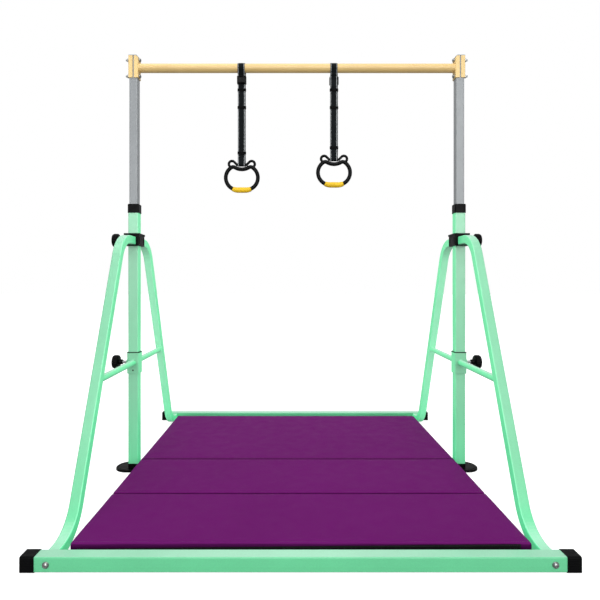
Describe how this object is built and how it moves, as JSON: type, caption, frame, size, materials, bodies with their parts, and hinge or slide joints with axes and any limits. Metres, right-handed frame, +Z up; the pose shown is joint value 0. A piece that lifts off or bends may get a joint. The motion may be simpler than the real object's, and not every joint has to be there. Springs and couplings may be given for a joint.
{
  "type": "gymnastics training bar",
  "caption": "Height-adjustable horizontal gymnastics bar on two A-frame supports, with strap-hung hand rings and a folding landing mat inside the base.",
  "frame": {"origin": "centre of the footprint, on the floor", "axes": "+X along the bar (to the right seen from the front), +Y from the front cross tube to the rear one, +Z up"},
  "size_m": [1.422, 1.4208, 1.5884],
  "materials": {
    "mint_paint": "semi-gloss powder coat",
    "grey_paint": "satin grey powder coat",
    "tan_paint": "satin pale tan powder coat",
    "black_plastic": "moulded, fine grain",
    "knob_plastic": "moulded, ribbed",
    "zinc_steel": "bright zinc plated",
    "webbing": "woven polyester webbing, pale edge stitching",
    "buckle_plastic": "moulded",
    "ring_plastic": "moulded, fine grain",
    "grip_rubber": "soft yellow grip",
    "mat_vinyl": "coated fabric over foam, stitched edges",
    "hook_loop": "hook-and-loop tape"
  },
  "bodies": {
    "stand": {"front_cross_tube": "mint_paint", "rear_cross_tube": "mint_paint", "front_left_cap": "black_plastic", "front_right_cap": "black_plastic", "rear_left_cap": "black_plastic", "rear_right_cap": "black_plastic", "left_front_leg": "mint_paint", "left_rear_leg": "mint_paint", "left_brace": "mint_paint", "left_sleeve_liner": "black_plastic", "left_apex_guide": "black_plastic", "left_outer_post": "mint_paint", "left_foot": "black_plastic", "left_collar": "black_plastic", "right_front_leg": "mint_paint", "right_rear_leg": "mint_paint", "right_brace": "mint_paint", "right_sleeve_liner": "black_plastic", "right_apex_guide": "black_plastic", "right_outer_post": "mint_paint", "right_foot": "black_plastic", "right_collar": "black_plastic", "base_bolts": "zinc_steel"},
    "lifting_bar": {"left_inner_post": "grey_paint", "left_post_plug": "grey_paint", "left_clamp_outer": "tan_paint", "left_clamp_inner": "tan_paint", "right_inner_post": "grey_paint", "right_post_plug": "grey_paint", "right_clamp_outer": "tan_paint", "right_clamp_inner": "tan_paint", "bar": "tan_paint", "clamp_bolts": "zinc_steel", "clamp_nuts": "zinc_steel"},
    "left_apex_knob_turning": {"left_apex_knob": "knob_plastic", "left_apex_screw": "zinc_steel"},
    "left_sleeve_knob_turning": {"left_sleeve_knob": "knob_plastic", "left_sleeve_screw": "zinc_steel"},
    "right_apex_knob_turning": {"right_apex_knob": "knob_plastic", "right_apex_screw": "zinc_steel"},
    "right_sleeve_knob_turning": {"right_sleeve_knob": "knob_plastic", "right_sleeve_screw": "zinc_steel"},
    "left_strap_hanging": {"left_strap": "webbing", "left_buckle": "buckle_plastic"},
    "left_buckle_cam": {"left_buckle_lever": "buckle_plastic"},
    "left_ring_hanging": {"left_ring": "ring_plastic", "left_grip": "grip_rubber"},
    "right_strap_hanging": {"right_strap": "webbing", "right_buckle": "buckle_plastic"},
    "right_buckle_cam": {"right_buckle_lever": "buckle_plastic"},
    "right_ring_hanging": {"right_ring": "ring_plastic", "right_grip": "grip_rubber"},
    "mat_rear": {"mat_rear_panel": "mat_vinyl", "mat_rear_seam": "mat_vinyl", "mat_rear_strip": "hook_loop"},
    "mat_middle": {"mat_middle_panel": "mat_vinyl", "mat_front_seam": "mat_vinyl"},
    "mat_front": {"mat_front_panel": "mat_vinyl", "mat_front_strip": "hook_loop"}
  },
  "joints": [
    {"name": "bar_height", "type": "slide", "parent": "stand", "child": "lifting_bar", "axis": [0, 0, 1], "range_m": [-0.468, 0]},
    {"name": "left_apex_knob_turn", "type": "hinge", "parent": "stand", "child": "left_apex_knob_turning", "pos_m": [-0.69, 0, 0.877], "axis": [-1, 0, 0], "continuous": true},
    {"name": "left_sleeve_knob_turn", "type": "hinge", "parent": "stand", "child": "left_sleeve_knob_turning", "pos_m": [-0.69, 0, 0.409], "axis": [-1, 0, 0], "continuous": true},
    {"name": "right_apex_knob_turn", "type": "hinge", "parent": "stand", "child": "right_apex_knob_turning", "pos_m": [0.69, 0, 0.877], "axis": [1, 0, 0], "continuous": true},
    {"name": "right_sleeve_knob_turn", "type": "hinge", "parent": "stand", "child": "right_sleeve_knob_turning", "pos_m": [0.69, 0, 0.409], "axis": [1, 0, 0], "continuous": true},
    {"name": "left_strap_swing", "type": "hinge", "parent": "lifting_bar", "child": "left_strap_hanging", "pos_m": [-0.212, 0, 1.542], "axis": [1, 0, 0], "range_deg": [-75, 75]},
    {"name": "left_ring_tilt", "type": "hinge", "parent": "left_strap_hanging", "child": "left_ring_hanging", "pos_m": [-0.212, 0, 1.16962], "axis": [1, 0, 0], "range_deg": [-60, 60]},
    {"name": "left_buckle_lever_open", "type": "hinge", "parent": "left_strap_hanging", "child": "left_buckle_cam", "pos_m": [-0.212, -0.0085, 1.5015], "axis": [1, 0, 0], "range_deg": [-75, 0]},
    {"name": "right_strap_swing", "type": "hinge", "parent": "lifting_bar", "child": "right_strap_hanging", "pos_m": [0.144, 0, 1.542], "axis": [1, 0, 0], "range_deg": [-75, 75]},
    {"name": "right_ring_tilt", "type": "hinge", "parent": "right_strap_hanging", "child": "right_ring_hanging", "pos_m": [0.144, 0, 1.18962], "axis": [1, 0, 0], "range_deg": [-60, 60]},
    {"name": "right_buckle_lever_open", "type": "hinge", "parent": "right_strap_hanging", "child": "right_buckle_cam", "pos_m": [0.144, 0.0085, 1.5015], "axis": [1, 0, 0], "range_deg": [0, 75]},
    {"name": "mat_lift", "type": "slide", "parent": "stand", "child": "mat_rear", "axis": [0, 0, 1], "range_m": [0, 0.15]},
    {"name": "mat_middle_fold", "type": "hinge", "parent": "mat_rear", "child": "mat_middle", "pos_m": [0, -0.027, 0.0455], "axis": [1, 0, 0], "range_deg": [-180, 0]},
    {"name": "mat_front_fold", "type": "hinge", "parent": "mat_middle", "child": "mat_front", "pos_m": [0, -0.3375, -0.0005], "axis": [1, 0, 0], "range_deg": [0, 180]}
  ],
  "couplings": [
    {"joint": "mat_front_fold", "follows": "mat_middle_fold", "ratio": -1}
  ]
}
